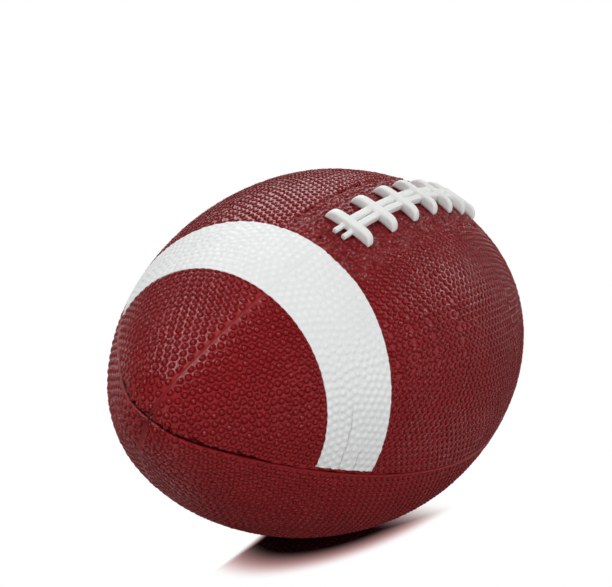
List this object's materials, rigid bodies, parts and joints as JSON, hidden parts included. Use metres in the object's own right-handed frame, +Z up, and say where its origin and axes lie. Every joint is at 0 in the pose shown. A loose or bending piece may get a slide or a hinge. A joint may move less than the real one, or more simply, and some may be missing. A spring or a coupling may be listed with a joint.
{
  "type": "american football",
  "caption": "Pointed oval rubber ball with a pebbled cover, white end stripes, a moulded lace strip, an inner bladder and an inflation valve.",
  "frame": {"origin": "middle of the ball, on its long axis", "axes": "+X along the long axis, +Z up with the ball lying on its belly; the laces are rolled 30 degrees from +Z towards -Y"},
  "size_m": [0.28, 0.156, 0.156],
  "materials": {
    "cover_rubber": "dark red moulded rubber with a fine pebble, satin",
    "stripe_paint": "white flexible paint over the pebbles, satin",
    "lace_vinyl": "soft white vinyl, satin",
    "winding_nylon": "wound nylon thread",
    "bladder_rubber": "black butyl rubber, smooth",
    "valve_rubber": "black moulded rubber, matt"
  },
  "bodies": {
    "root": {"bladder": "bladder_rubber", "nylon_winding": "winding_nylon", "valve_housing": "valve_rubber", "valve_insert": "valve_rubber", "cover_panel_upper_near": "cover_rubber", "cover_panel_upper_far": "cover_rubber", "cover_panel_lower_near": "cover_rubber", "cover_panel_lower_far": "cover_rubber", "stripe_front_near": "stripe_paint", "stripe_front_far": "stripe_paint", "stripe_rear_near": "stripe_paint", "stripe_rear_far": "stripe_paint", "lace_strip": "lace_vinyl"}
  },
  "joints": []
}
